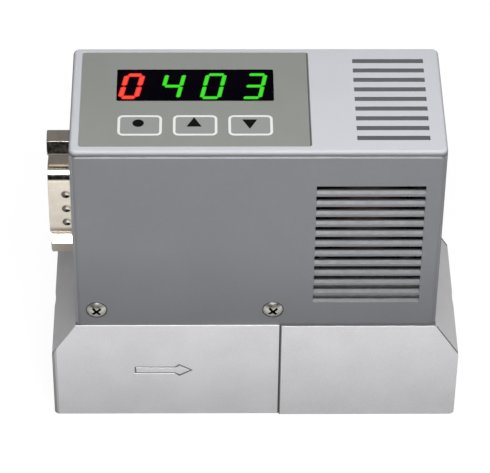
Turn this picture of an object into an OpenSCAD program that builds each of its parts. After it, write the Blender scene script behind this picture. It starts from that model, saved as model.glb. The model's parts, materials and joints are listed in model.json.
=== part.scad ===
// Digital mass flow controller: two bolted aluminium flow blocks, a bypass flow
// sensor and a solenoid control valve, under a sheet-metal housing with a keypad
// and display panel on top and a nine-pin connector in its left wall.
// Millimetres. X runs along the gas flow from inlet to outlet, Y to the back,
// Z up. The origin is under the middle of the base.

/* [Base blocks] */
// Length of the base from inlet face to outlet face
base_len = 82; // [80:1:110]
// Depth of the inlet block, front to back
base_d = 32.5; // [32.2:0.1:36]
// Height of the base up to the ledge that carries the housing
base_h = 25; // [25:0.5:32]
// Height of the upright part of each end face
end_h = 17; // [16.5:0.5:20]
// How far each end slopes inwards above its upright part
slope_run = 5; // [2:0.5:5]
// Radius of the lower edge of each end
foot_r = 1; // [0.5:0.1:2]
// Place of the joint between the two blocks along X
split_x = 4.95; // [4.5:0.05:6]
// Chamfer on the edges of each block along the joint
split_chamfer = 0.2; // [0.1:0.05:0.4]
// How far the inlet block's neck laps over the outlet block
neck_lap = 2.45; // [1.5:0.05:3]
// How far the outlet block stands proud of the inlet block, front and back
outlet_proud = 0.3; // [0:0.05:0.5]
// Height of the neck that stands up inside the housing
neck_h = 8; // [8:0.5:10]
// Width of the ledge in front of the housing and behind it
ledge = 0.25; // [0.1:0.05:0.6]

/* [Gas path] */
// Height of the inlet and outlet ports above the underside
port_z = 12.5; // [12:0.5:13]
// Radius of the tapped wall of each port (G1/8)
port_r = 4.4; // [4.2:0.1:4.5]
// Depth of each tapped port
port_depth = 10; // [8:0.5:10]
// Lead-in chamfer at the mouth of each port
port_lead = 0.5; // [0.2:0.1:0.8]
// Radius of the plain passages in the blocks
passage_r = 2; // [1.5:0.1:2.5]
// Radius of the bypass bore that holds the laminar element
bypass_r = 4; // [3.5:0.1:4.2]
// Length of the laminar element
element_len = 14; // [10:0.5:15]
// Thickness of the sintered inlet filter
filter_t = 2; // [1:0.1:2.5]
// Place of the upstream sensor tap along X
tap_in_x = -17; // [-18:0.5:-16]
// Distance between the two sensor taps
tap_pitch = 19; // [18:0.5:19]
// Radius of the sensor taps
tap_r = 0.75; // [0.5:0.05:1]

/* [Control valve] */
// Distance from the housing's right wall to the valve's axis
valve_inset = 13.5; // [13:0.1:14.5]
// Radius of the valve chamber
chamber_r = 5.5; // [5.3:0.1:5.8]
// Height of the valve chamber's floor above the port axis
chamber_rise = 6.5; // [6:0.5:7.5]
// Radius of the orifice in the valve seat
orifice_r = 0.8; // [0.4:0.1:1]
// Radius of the plunger
plunger_r = 3.55; // [3:0.05:3.7]
// Lift of the plunger from shut to fully open
valve_lift = 0.4; // [0.2:0.05:0.6]
// Outer radius of the coil's winding
winding_r = 8.6; // [7.5:0.1:8.6]
// Thickness of the yoke's steel
yoke_t = 1.5; // [1:0.1:1.6]

/* [Housing] */
// Thickness of the housing's walls
housing_wall = 1; // [0.8:0.1:1.1]
// Radius of the housing's upright edges
housing_r = 1.3; // [0.8:0.1:2]
// Height of the whole controller up to the face of its top panel
overall_h = 70; // [70:0.5:74]
// Chamfer along the housing's top edge
rim_chamfer = 0.4; // [0.2:0.1:0.6]
// Number of slots in the front and in the back
side_vents = 12; // [4:1:12]
// Distance from one side slot to the next
side_vent_pitch = 2.58; // [2.2:0.02:2.7]
// Height of a side slot
side_vent_h = 1.45; // [1:0.05:1.6]
// Length of a side slot
side_vent_len = 21; // [15:0.5:22]
// Distance from the ends of the side slots to the housing's right face
side_vent_in = 3.75; // [3:0.25:5]
// Distance from the topmost side slot's middle to the top of the whole
side_vent_drop = 9.3; // [7.5:0.1:10]
// Chamfer on the lower lip of a side slot
side_vent_lip = 0.5; // [0.3:0.05:0.6]
// Height of the cover screws above the underside
cover_screw_z = 29; // [28.5:0.1:29.5]
// Distance from the housing's left face to its first cover screw
cover_screw_in = 4.3; // [4:0.1:4.6]
// Distance from the second cover screw to the joint between the blocks
screw_to_split = 1.58; // [1.3:0.01:2]

/* [Top panel] */
// Thickness of the top panel
panel_t = 1.2; // [1.1:0.1:1.6]
// Rounding of the panel's top edge
panel_round = 0.7; // [0.4:0.1:0.8]
// Height of the shadow groove under the panel's edge
groove_h = 0.2; // [0.1:0.05:0.3]
// Depth of the shadow groove
groove_in = 0.4; // [0.2:0.1:0.6]
// Depth of the lip that locates the panel in the housing
lip_h = 2; // [1:0.5:2]
// Number of slots in the top panel
top_vents = 9; // [3:1:9]
// Distance from one top slot to the next
top_vent_pitch = 2.95; // [2.4:0.05:3]
// Width of a top slot
top_vent_w = 1.3; // [1:0.05:1.6]
// Length of a top slot
top_vent_len = 13.9; // [10:0.1:14]
// Distance from the ends of the top slots to the panel's right edge
top_vent_in = 3.25; // [3:0.05:4]

/* [Keypad and display] */
// Length of the keypad film
film_len = 44.2; // [43:0.1:46]
// Distance from the film to the panel's left edge
film_left = 1.9; // [1.5:0.1:2.5]
// Distance from the film to the panel's front edge
film_front = 1.8; // [1.5:0.1:2.5]
// Distance from the film to the panel's back edge
film_back = 1.5; // [1.5:0.1:2.5]
// Thickness of the film
film_t = 0.2; // [0.15:0.05:0.2]
// Length of the display window
window_len = 30.4; // [30.3:0.1:31]
// Depth of the display window, front to back
window_d = 9.7; // [9.5:0.1:9.8]
// Distance from the middle of the film back to the middle of the window
window_off = 4.2; // [3.8:0.1:4.4]
// Length of a key's outline
key_len = 8.5; // [7.5:0.1:9]
// Depth of a key's outline, front to back
key_d = 6.05; // [5.5:0.05:6.5]
// Distance from one key to the next
key_pitch = 10.6; // [10:0.1:11]
// Distance from the middle of the film forward to the middle of the keys
key_off = 8.2; // [8:0.1:8.6]
// Width of the raised rim round a key
key_rim = 0.5; // [0.4:0.1:0.8]
// Height of the raised rim round a key
key_rim_h = 0.1; // [0.05:0.05:0.15]
// Travel of a key
key_travel = 0.25; // [0.15:0.05:0.25]
// Length of the four-digit display module
module_len = 30.2; // [30:0.1:30.2]
// Depth of the display module, front to back
module_d = 10; // [9.8:0.1:10]
// Height of the display module
module_h = 6.1; // [6:0.1:6.6]

/* [Connector] */
// How far the connector sits below the middle of the housing's wall
plug_drop = 0.4; // [0.3:0.1:0.5]
// Length of the connector's shell, measured upright
shell_len = 16.92; // [16.9:0.01:17]
// Width of the connector's shell
shell_w = 8.36; // [8.3:0.01:8.5]
// Thickness of the shell's sheet metal
shell_t = 0.5; // [0.4:0.1:0.6]
// How far the shell stands out of the housing
shell_out = 5; // [4.8:0.1:5.2]
// Radius of the shell's corners
shell_r = 2.6; // [2.4:0.1:2.7]
// Slant of the shell's short sides in degrees
shell_slant = 10; // [8:1:12]
// Distance between the jack screws
jack_pitch = 24.99; // [24.9:0.01:25.1]
// Width across the flats of a jack screw's hexagon
jack_hex = 4.76; // [4.5:0.01:5]
// Distance between neighbouring pins of a row
pin_pitch = 2.77; // [2.7:0.01:2.8]
// Distance between the two rows of pins
pin_rows = 2.84; // [2.8:0.01:2.9]
// Radius of a pin
pin_r = 0.51; // [0.45:0.01:0.55]

/* [Boards] */
// Thickness of the circuit boards
board_t = 1.6; // [1.2:0.1:1.6]
// Clear height between the main board and the display board
board_room = 2.05; // [1.9:0.05:3]
// Clearance between a board and the nearest wall or board beside it
board_clear = 2; // [1.5:0.1:2.5]

/* [Fasteners and fits] */
// Clearance between parts that are put together by hand
fit = 0.15; // [0.1:0.05:0.2]
// Clearance of a turned part in its bore
close_fit = 0.02; // [0.01:0.01:0.04]
// Clearance of a sliding part in its bore
slide_fit = 0.05; // [0.04:0.01:0.08]
// Depth to which the cover screws' heads are sunk in the housing
head_sink = 0.5; // [0.2:0.1:0.5]
// Spacing of the mounting holes in the underside along X
mount_pitch_x = 60; // [50:1:62]
// Spacing of the mounting holes in the underside along Y
mount_pitch_y = 20; // [18:0.5:21]
// Depth of the mounting holes
mount_depth = 8; // [6:0.5:8]

/* [Hidden] */
$fn = 64;
// A cut runs this far past the face that it opens
past = 0.5;
// Neighbouring volumes of one solid reach this far into each other
bite = 0.2;
// A straight side meets a round corner this far inside its tangent, so that they cross cleanly
tangent_gap = 0.0005;

// Metric screws: shank radius, head radius, head height
m2 = [1.0, 1.95, 1.1];
m25 = [1.25, 2.25, 2.5];
m4 = [2.0, 3.5, 4.0];
m4_tap_r = 1.65;
m4_clear_r = 2.15;
// Depth of the tapped holes for the M2.5 screws and for the cover screws
m25_tap = 7;
cover_tap = 6.3;

// Housing on the base
housing_len = base_len - 2 * slope_run;
housing_d = base_d - 2 * ledge;

// Heights
neck_top = base_h + neck_h;
panel_z = overall_h - panel_t;
film_recess = film_t + 0.05;
film_z = overall_h - film_recess;
plug_z = (base_h + panel_z) / 2 - plug_drop;
module_z = film_z - module_h;
display_board_z = module_z - board_t;

// Housing and neck outlines
inner_len = housing_len - 2 * housing_wall;
inner_d = housing_d - 2 * housing_wall;
neck_d = inner_d - 2 * fit;
neck_x = inner_len / 2 - fit;
cover_screws_x = [cover_screw_in - housing_len / 2, split_x - screw_to_split];
lap_x = split_x + neck_lap;
side_vent_x = (housing_len - side_vent_len) / 2 - side_vent_in;
side_vent_z = overall_h - side_vent_drop - (side_vents - 1) / 2 * side_vent_pitch;
top_vent_x = (housing_len - top_vent_len) / 2 - top_vent_in;

// Keypad film, window and keys
film_d = housing_d - film_front - film_back;
film_x = film_left + (film_len - housing_len) / 2;
film_y = (film_front - film_back) / 2;
window_y = film_y + window_off;
key_y = film_y - key_off;

// Gas path
inlet_x = -base_len / 2;
outlet_x = base_len / 2;
outlet_d = base_d + 2 * outlet_proud;
filter_x = inlet_x + port_depth;
filter_seat_x = filter_x + filter_t + 1;
bypass_x = tap_in_x - 2;
tap_out_x = tap_in_x + tap_pitch;
taps = [tap_in_x, tap_out_x];
tap_seal_h = 1;
tap_seal_in_r = tap_r + 0.25;
tap_seal_out_r = tap_r + 1.35;
seal_h = 1.3;
seal_in_r = bypass_r + 0.6;
seal_out_r = seal_in_r + 1.9;

// Bolts that join the blocks
bolt_y = 11.5;
bolt_head_x = outlet_x - m4[2] - 0.4;
bolt_grip = 10;

// Sensor
sensor_x = (tap_in_x + tap_out_x) / 2;
sensor_len = tap_pitch + 7;
sensor_d = 20;
sensor_base_h = 4;
sensor_top = neck_top + sensor_base_h;
sensor_screw_dx = 6;
sensor_screw_y = 7.8;
tube_r = 0.45;
tube_bore_r = 0.2;
tube_bend = 3;
tube_top = sensor_top + 12;
can_len = tap_pitch + 5;
can_d = 11;
can_h = 16;
can_t = 0.8;

// Valve
valve_x = inner_len / 2 - valve_inset;
chamber_z = port_z + chamber_rise;
chamber_seal_out_r = chamber_r + 1.45;
feed_r = 1.5;
seat_r = 3.5;
seat_h = 3;
lip_rise = 0.8;
plunger_z = chamber_z + lip_rise + 0.3;
plunger_flange_z = plunger_z + 1.5;
plunger_flange_r = plunger_r + 1.25;
plunger_flange_h = 1.2;
spigot_z = neck_top - 3;
core_flange_h = 2;
core_flange_w = 22;
yoke_z = neck_top + core_flange_h;
yoke_len = 24;
yoke_nut_h = 2.8;
yoke_washer_t = 0.6;
core_stub = 3.7;
yoke_top = panel_z - lip_h - core_stub - 5.1;
coil_h = yoke_top - yoke_z - 2 * yoke_t;
stop_z = yoke_top - 8;
plunger_top = stop_z - valve_lift - 0.1;
core_r = plunger_r + slide_fit + 0.9;
valve_screw_off = 8.6;
plunger_seal_r = 2.2;
bobbin_gap = 0.05;
bobbin_z = yoke_z + yoke_t + bobbin_gap;
bobbin_h = coil_h - 2 * bobbin_gap;
bobbin_t = 0.8;
bobbin_flange = 1;
bobbin_in_r = core_r + slide_fit;
spring_wire = 0.35;
spring_turns = 5;
spring_r = plunger_r + 0.25 + spring_wire;

// Boards
bracket_t = 1;
bracket_gap = 0.8;
bracket_len = tap_pitch;
main_board_y = inner_d / 2 - bracket_gap - bracket_t - board_t;
main_board_z = sensor_top + board_clear;
main_board_top = display_board_z - board_room;
display_screw_dx = module_len / 2 + 2.4;
display_board_len = 2 * display_screw_dx + 4.2;
display_board_d = inner_d - 1.5 * board_clear;
display_screw_y = display_board_d / 2 - 2.2;
switch_w = 6;
switch_h = 3.5;
button_r = 1.75;
button_top = film_z - 0.3;
button_sunk = 1.4;
pit_depth = key_travel + button_sunk + 0.05;
keys_x = [film_x - key_pitch, film_x, film_x + key_pitch];
header_w = 14;
header_x = -8;
ribbon_y = 8;
ribbon_bend = 1.1;
ribbon_z = display_board_z - 2.5;
ribbon_plug_z = ribbon_z - 1.85 - ribbon_bend;
board_screw_z = main_board_top - 8;
board_screws_x = [sensor_x - 6.5, sensor_x + 6.5];

// Connector
wall_x = -housing_len / 2;
flange_x = wall_x + housing_wall;
flange_t = 0.8;
flange_len = 30.81;
flange_w = 12.55;
tip_x = wall_x - shell_out;
insulator_back_x = flange_x + flange_t + 4.7;
connector_board_x = insulator_back_x + 1.4;
main_board_x = connector_board_x + board_t + board_clear;
main_board_end = inner_len / 2 - board_clear;
connector_board_gap = 1.5;
jack_rows = [plug_z - jack_pitch / 2, plug_z + jack_pitch / 2];
hex_turns = [12, 44.5];
jack_stud_r = 1.42;
// Centres of the nine pins as [y, z]; the row of five lies on the long side
pins = [
    for (row = [0, 1], i = [0 : 4 - row])
        [(row - 0.5) * pin_rows, plug_z + (i - (4 - row) / 2) * pin_pitch]
];

// ---- Shapes used more than once ----

// Rounded rectangle about the origin
module rounded_rect(l, d, r) {
    square([l - 2 * r, d], center = true);
    square([l, d - 2 * r], center = true);
    for (x = [-1, 1], y = [-1, 1])
        translate([x * (l / 2 - r), y * (d / 2 - r)]) circle(r);
}

// Plate with rounded upright edges, standing on z = 0
module slab(l, d, r, h) {
    linear_extrude(h) rounded_rect(l, d, r);
}

// Section of a bar with its two upper edges rounded by f
module soft_section(w, h, f) {
    translate([-w / 2, 0]) square([w, h - f]);
    translate([-w / 2 + f, 0]) square([w - 2 * f, h]);
    for (s = [-1, 1]) intersection() {
        translate([s * (w / 2 - f), h - f]) circle(f);
        translate([-w / 2, 0]) square([w, h]);
    }
}

// Section of a bar with its two upper edges chamfered by c
module chamfered_section(w, h, c) {
    polygon([[-w / 2, 0], [w / 2, 0], [w / 2, h - c], [w / 2 - c, h],
             [c - w / 2, h], [-w / 2, h - c]]);
}

// Right half of a section, to be turned about the z axis
module half_section(r, h) {
    intersection() {
        children();
        square([r, h]);
    }
}

// Plate with its top edge rounded all the way round
module soft_slab(l, d, r, h, f) {
    rotate([90, 0, 90]) translate([0, 0, r - l / 2])
        linear_extrude(l - 2 * r) soft_section(d, h, f);
    rotate([90, 0, 0]) translate([0, 0, r - d / 2])
        linear_extrude(d - 2 * r) soft_section(l, h, f);
    for (x = [-1, 1], y = [-1, 1])
        translate([x * (l / 2 - r), y * (d / 2 - r)])
            rotate_extrude() half_section(r, h) soft_section(2 * r, h, f);
}

// Plate with its top edge chamfered all the way round
module chamfered_slab(l, d, r, h, c) {
    rotate([90, 0, 90]) translate([0, 0, r - l / 2])
        linear_extrude(l - 2 * r) chamfered_section(d, h, c);
    rotate([90, 0, 0]) translate([0, 0, r - d / 2])
        linear_extrude(d - 2 * r) chamfered_section(l, h, c);
    for (x = [-1, 1], y = [-1, 1])
        translate([x * (l / 2 - r), y * (d / 2 - r)])
            rotate_extrude() half_section(r, h) chamfered_section(2 * r, h, c);
}

// Flattened ring of rubber, standing on z = 0
module seal_ring(r_in, r_out, h) {
    w = r_out - r_in;
    rotate_extrude() translate([(r_in + r_out) / 2, h / 2]) intersection() {
        circle(w / 2);
        square([w, h], center = true);
    }
}

// Tube or ring, standing on z = 0
module ring(r_in, r_out, h) {
    difference() {
        cylinder(r = r_out, h = h);
        translate([0, 0, -past]) cylinder(r = r_in, h = h + 2 * past);
    }
}

// Pan-head screw, seated on z = 0 with its shank pointing down
module pan_screw(size, shank_r, len) {
    dome = 0.65 * size[2];
    dome_r = (size[1] * size[1] + dome * dome) / (2 * dome);
    slot_len = 1.15 * size[1];
    slot_w = 0.28 * size[1];
    slot_depth = 0.65 * size[2];
    difference() {
        union() {
            rotate_extrude() intersection() {
                square([size[1], size[2]]);
                translate([0, size[2] - dome_r]) circle(dome_r);
            }
            translate([0, 0, -len]) cylinder(r = shank_r, h = len + bite);
        }
        for (a = [0, 90]) rotate([0, 0, a]) translate([0, 0, size[2]])
            cube([slot_len, slot_w, 2 * slot_depth], center = true);
    }
}

// Socket-head screw, seated on z = 0 with its shank pointing down
module cap_screw(size, shank_r, len) {
    socket_z = 0.45 * size[2];
    socket_r = 0.5 * size[1];
    difference() {
        union() {
            cylinder(r = size[1], h = size[2]);
            translate([0, 0, -len]) cylinder(r = shank_r, h = len + bite);
        }
        translate([0, 0, socket_z]) cylinder(r = socket_r, h = size[2], $fn = 6);
    }
}

// Hexagonal bar of a given width across its flats, standing on z = 0
module hex_bar(flats, h) {
    cylinder(r = flats / 2 / cos(30), h = h, $fn = 6);
}

// Hexagonal nut
module nut(flats, hole_r, h) {
    difference() {
        hex_bar(flats, h);
        translate([0, 0, -past]) cylinder(r = hole_r, h = h + 2 * past);
    }
}

// Drilled hole along X from x0 to x1
module hole_x(x0, x1, y, z, r) {
    translate([x0, y, z]) rotate([0, 90, 0]) cylinder(r = r, h = x1 - x0);
}

// Box given by its lowest and highest corners
module box(low, high) {
    translate(low) cube(high - low);
}

// ---- Base blocks ----

// Solid half of the base: from the joint at x = 0 to its end at x = len
module base_half(len, d) {
    difference() {
        rotate([90, 0, 0]) translate([0, 0, -d / 2]) linear_extrude(d) difference() {
            polygon([[0, 0], [len, 0], [len, end_h], [len - slope_run, base_h], [0, base_h]]);
            difference() {
                translate([len - foot_r, -past]) square([foot_r + past, foot_r + past]);
                translate([len - foot_r, foot_r]) circle(foot_r);
            }
        }
        for (s = [-1, 1]) translate([0, s * d / 2, base_h / 2]) rotate([0, 0, 45])
            cube([split_chamfer * sqrt(2), split_chamfer * sqrt(2), base_h + 2 * past],
                 center = true);
    }
}

// Tapped port from an end face inwards, along +X from x = 0
module port_cut() {
    hole_x(-past, port_depth, 0, port_z, port_r);
    translate([-past, 0, port_z]) rotate([0, 90, 0])
        cylinder(r1 = port_r + port_lead + past, r2 = port_r, h = port_lead + past);
}

// The two tapped mounting holes under one end
module mount_cuts(side) {
    for (y = [-1, 1])
        translate([side * mount_pitch_x / 2, y * mount_pitch_y / 2, -past])
            cylinder(r = m4_tap_r, h = mount_depth + past);
}

// Flow arrow, its outline drawn in by e from every edge
module arrow(e) {
    tail = -24.4;
    neck = -16.3;
    barb = -15.4;
    tip = -12.6;
    half = 0.95;
    barb_half = 1.7;
    polygon([[tail + e, half - e], [neck + e / 2, half - e], [barb + e * 0.4, barb_half - 1.6 * e],
             [tip - 1.9 * e, 0], [barb + e * 0.4, 1.6 * e - barb_half],
             [neck + e / 2, e - half], [tail + e, e - half]]);
}

module inlet_block() {
    arrow_line = 0.3;
    arrow_depth = 0.15;
    notch_w = 14.8;
    notch_x = flange_x + flange_t + 3.7;
    notch_z = plug_z - flange_len / 2 - 1;
    color("gainsboro") difference() {
        union() {
            translate([split_x, 0, 0]) mirror([1, 0, 0]) base_half(split_x - inlet_x, base_d);
            box([-neck_x, -neck_d / 2, base_h - bite], [split_x, neck_d / 2, neck_top]);
            box([split_x - bite, -neck_d / 2, base_h], [lap_x, neck_d / 2, neck_top]);
        }
        box([-neck_x - past, -notch_w / 2, notch_z], [notch_x, notch_w / 2, neck_top + past]);
        translate([inlet_x, 0, 0]) port_cut();
        hole_x(filter_x - past, filter_seat_x, 0, port_z, bypass_r);
        hole_x(filter_x, bypass_x, 0, port_z, passage_r);
        hole_x(bypass_x, split_x + past, 0, port_z, bypass_r);
        for (x = taps) translate([x, 0, 0]) {
            translate([0, 0, port_z]) cylinder(r = tap_r, h = neck_top - port_z + past);
            translate([0, 0, neck_top - tap_seal_h])
                cylinder(r = tap_seal_out_r + 0.1, h = tap_seal_h + past);
        }
        for (x = [-1, 1], y = [-1, 1])
            translate([sensor_x + x * sensor_screw_dx, y * sensor_screw_y, neck_top - m25_tap])
                cylinder(r = m25[0], h = m25_tap + past);
        for (y = [-1, 1]) {
            hole_x(split_x - bolt_grip, split_x + past, y * bolt_y, port_z, m4[0]);
            for (x = cover_screws_x)
                translate([x, y * (neck_d / 2 + past), cover_screw_z])
                    rotate([y * 90, 0, 0]) cylinder(r = m2[0], h = cover_tap + past);
        }
        mount_cuts(-1);
        translate([0, arrow_depth - base_d / 2, port_z]) rotate([90, 0, 0])
            linear_extrude(arrow_depth + past) difference() {
                arrow(0);
                arrow(arrow_line);
            }
    }
}

module outlet_block() {
    feed_run = valve_x - chamber_r + 1 - split_x;
    feed_rise = chamber_rise + 2;
    color("gainsboro") difference() {
        union() {
            translate([split_x, 0, 0]) base_half(outlet_x - split_x, outlet_d);
            box([lap_x + fit, -neck_d / 2, base_h - bite], [neck_x, neck_d / 2, neck_top]);
        }
        translate([outlet_x, 0, 0]) mirror([1, 0, 0]) port_cut();
        hole_x(valve_x, outlet_x - port_depth + past, 0, port_z, passage_r);
        hole_x(split_x - past, split_x + seal_h, 0, port_z, seal_out_r + 0.1);
        translate([split_x, 0, port_z]) rotate([0, atan2(feed_run, feed_rise), 0])
            cylinder(r = feed_r, h = norm([feed_run, feed_rise]));
        translate([valve_x, 0, 0]) {
            translate([0, 0, port_z]) cylinder(r = feed_r, h = chamber_rise);
            translate([0, 0, chamber_z - seat_h]) cylinder(r = seat_r, h = seat_h + past);
            translate([0, 0, chamber_z]) cylinder(r = chamber_r, h = neck_top);
            translate([0, 0, neck_top - seal_h])
                cylinder(r = chamber_seal_out_r + slide_fit, h = seal_h + past);
            for (x = [-1, 1], y = [-1, 1])
                translate([x * valve_screw_off, y * valve_screw_off, neck_top - m25_tap])
                    cylinder(r = m25[0], h = m25_tap + past);
        }
        for (y = [-1, 1]) {
            hole_x(split_x - past, outlet_x, y * bolt_y, port_z, m4_clear_r);
            hole_x(bolt_head_x, outlet_x + past, y * bolt_y, port_z, m4[1] + 0.25);
        }
        mount_cuts(1);
    }
}

module joint_seal() {
    color("dimgray") translate([split_x, 0, port_z]) rotate([0, 90, 0])
        seal_ring(seal_in_r, seal_out_r, seal_h);
}

module block_bolts() {
    color("silver") for (y = [-1, 1])
        translate([bolt_head_x, y * bolt_y, port_z]) rotate([0, 90, 0])
            cap_screw(m4, m4[0] - close_fit, bolt_head_x - split_x + bolt_grip - 1);
}

module inlet_filter() {
    color("tan") hole_x(filter_seat_x - filter_t, filter_seat_x, 0, port_z, bypass_r - close_fit);
}

// Laminar flow element: a turned plug with a ring of straight capillaries
module laminar_element() {
    x0 = bypass_x + 5;
    r = bypass_r - close_fit;
    stem_r = 0.3 * r;
    disc_r = 0.55 * r;
    ring_r = 0.68 * r;
    capillary_r = 0.35;
    groove_w = 1;
    groove_depth = 0.4;
    color("silver") difference() {
        union() {
            hole_x(x0, x0 + element_len, 0, port_z, r);
            hole_x(bypass_x, x0 + bite, 0, port_z, stem_r);
            hole_x(bypass_x, bypass_x + 0.6, 0, port_z, disc_r);
        }
        for (a = [0 : 30 : 330])
            hole_x(x0 - past, x0 + element_len + past, ring_r * cos(a),
                   port_z + ring_r * sin(a), capillary_r);
        for (x = [x0 + 2.5, x0 + element_len - 2.5 - groove_w]) difference() {
            hole_x(x, x + groove_w, 0, port_z, r + past);
            hole_x(x - past, x + groove_w + past, 0, port_z, r - groove_depth);
        }
    }
}

// ---- Flow sensor ----

module sensor_base() {
    color("lightgray") difference() {
        translate([sensor_x, 0, neck_top]) slab(sensor_len, sensor_d, 1.5, sensor_base_h);
        for (x = taps) translate([x, 0, neck_top - past])
            cylinder(r = tube_r + slide_fit, h = sensor_base_h + 2 * past);
        for (x = [-1, 1], y = [-1, 1])
            translate([sensor_x + x * sensor_screw_dx, y * sensor_screw_y, neck_top - past])
                cylinder(r = m25[0] + fit, h = sensor_base_h + 2 * past);
    }
}

module sensor_seals() {
    color("dimgray") for (x = taps) translate([x, 0, neck_top - tap_seal_h])
        seal_ring(tap_seal_in_r, tap_seal_out_r, tap_seal_h);
}

// Capillary: two upright legs, two bends and a straight heated length
module capillary(r) {
    leg_z = neck_top + 0.3;
    for (i = [0, 1]) translate([taps[i], 0, 0]) mirror([i, 0, 0]) {
        translate([0, 0, leg_z]) cylinder(r = r, h = tube_top - tube_bend - leg_z);
        translate([tube_bend, 0, tube_top - tube_bend]) rotate([90, 0, 0])
            rotate([0, 0, 90]) rotate_extrude(angle = 90) translate([tube_bend, 0]) circle(r);
    }
    hole_x(tap_in_x + tube_bend, tap_out_x - tube_bend, 0, tube_top, r);
}

module sensor_tube() {
    color("silver") difference() {
        capillary(tube_r);
        capillary(tube_bore_r);
    }
}

module sensor_windings() {
    len = 4.5;
    off = 2.75;
    r = 1;
    color("peru") for (s = [-1, 1]) difference() {
        hole_x(sensor_x + s * off - len / 2, sensor_x + s * off + len / 2, 0, tube_top, r);
        hole_x(sensor_x - off - len, sensor_x + off + len, 0, tube_top, tube_r + close_fit);
    }
}

module sensor_cover() {
    color("silver") translate([sensor_x, 0, sensor_top]) difference() {
        slab(can_len, can_d, 1.5, can_h);
        translate([0, 0, -past])
            slab(can_len - 2 * can_t, can_d - 2 * can_t, 0.7, can_h - can_t + past);
    }
}

module sensor_screws() {
    color("silver") for (x = [-1, 1], y = [0, 1])
        translate([sensor_x + x * sensor_screw_dx, (2 * y - 1) * sensor_screw_y,
                   sensor_top + y * bracket_t])
            cap_screw(m25, m25[0] - close_fit, m25_tap - 1 + sensor_base_h + y * bracket_t);
}

// ---- Control valve ----

module valve_seat() {
    color("silver") translate([valve_x, 0, chamber_z - seat_h]) difference() {
        union() {
            cylinder(r = seat_r - close_fit, h = seat_h);
            cylinder(r = orifice_r + 0.8, h = seat_h + lip_rise);
        }
        translate([0, 0, -past]) cylinder(r = orifice_r, h = seat_h + lip_rise + 2 * past);
    }
}

module valve_plunger() {
    color("lightsteelblue") translate([valve_x, 0, 0]) difference() {
        union() {
            translate([0, 0, plunger_z]) cylinder(r = plunger_r, h = plunger_top - plunger_z);
            translate([0, 0, plunger_flange_z]) cylinder(r = plunger_flange_r, h = plunger_flange_h);
        }
        translate([0, 0, plunger_z - past]) cylinder(r = plunger_seal_r, h = 1 + past);
        for (s = [-1, 1]) box([s * plunger_r - 0.35, -0.4, plunger_flange_z + plunger_flange_h],
                              [s * plunger_r + 0.35, 0.4, plunger_top + past]);
    }
}

module plunger_seal() {
    color("dimgray") translate([valve_x, 0, chamber_z + lip_rise])
        cylinder(r = plunger_seal_r, h = 1 + plunger_z - chamber_z - lip_rise);
}
// Round wire wound z0 to z1 about the z axis
module coil_spring(r, wire, z0, z1, turns) {
    around = 18;
    sides = 8;
    steps = turns * around;
    points = [
        for (i = [0 : steps], j = [0 : sides - 1])
            let (a = 360 * i / around, b = 360 * j / sides, z = z0 + (z1 - z0) * i / steps)
            [(r + wire * cos(b)) * cos(a), (r + wire * cos(b)) * sin(a), z + wire * sin(b)]
    ];
    skin = [
        for (i = [0 : steps - 1], j = [0 : sides - 1], k = [0, 1])
            let (p = i * sides + j, q = i * sides + (j + 1) % sides)
            k == 0 ? [p, q, q + sides] : [p, q + sides, p + sides]
    ];
    ends = [[for (j = [sides - 1 : -1 : 0]) j], [for (j = [0 : sides - 1]) steps * sides + j]];
    polyhedron(points, concat(skin, ends));
}

module plunger_spring() {
    color("silver") translate([valve_x, 0, 0])
        coil_spring(spring_r, spring_wire, plunger_flange_z + plunger_flange_h + spring_wire + 0.02,
                    spigot_z - spring_wire - 0.02, spring_turns);
}

module chamber_seal() {
    color("dimgray") translate([valve_x, 0, neck_top - seal_h])
        seal_ring(chamber_r + slide_fit, chamber_seal_out_r, seal_h);
}

module core_tube() {
    color("silver") translate([valve_x, 0, 0]) difference() {
        union() {
            translate([0, 0, spigot_z])
                cylinder(r = chamber_r - slide_fit, h = neck_top - spigot_z + bite);
            translate([0, 0, neck_top]) slab(core_flange_w, core_flange_w, 2, core_flange_h);
            translate([0, 0, neck_top]) cylinder(r = core_r, h = yoke_top - neck_top);
            translate([0, 0, neck_top]) cylinder(r = m4[0], h = yoke_top - neck_top + core_stub);
        }
        translate([0, 0, spigot_z - past])
            cylinder(r = plunger_r + slide_fit, h = stop_z - spigot_z + past);
        for (x = [-1, 1], y = [-1, 1])
            translate([x * valve_screw_off, y * valve_screw_off, neck_top - past])
                cylinder(r = m25[0] + fit, h = core_flange_h + 2 * past);
    }
}

module coil_bobbin() {
    color("ivory") translate([valve_x, 0, bobbin_z]) difference() {
        union() {
            cylinder(r = bobbin_in_r + bobbin_t, h = bobbin_h);
            for (z = [0, bobbin_h - bobbin_flange])
                translate([0, 0, z]) cylinder(r = winding_r + 0.4, h = bobbin_flange);
        }
        translate([0, 0, -past]) cylinder(r = bobbin_in_r, h = bobbin_h + 2 * past);
    }
}

module coil_winding() {
    color("darkgoldenrod") translate([valve_x, 0, bobbin_z + bobbin_flange + bobbin_gap])
        ring(bobbin_in_r + bobbin_t + close_fit, winding_r,
             bobbin_h - 2 * (bobbin_flange + bobbin_gap));
}

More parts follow.
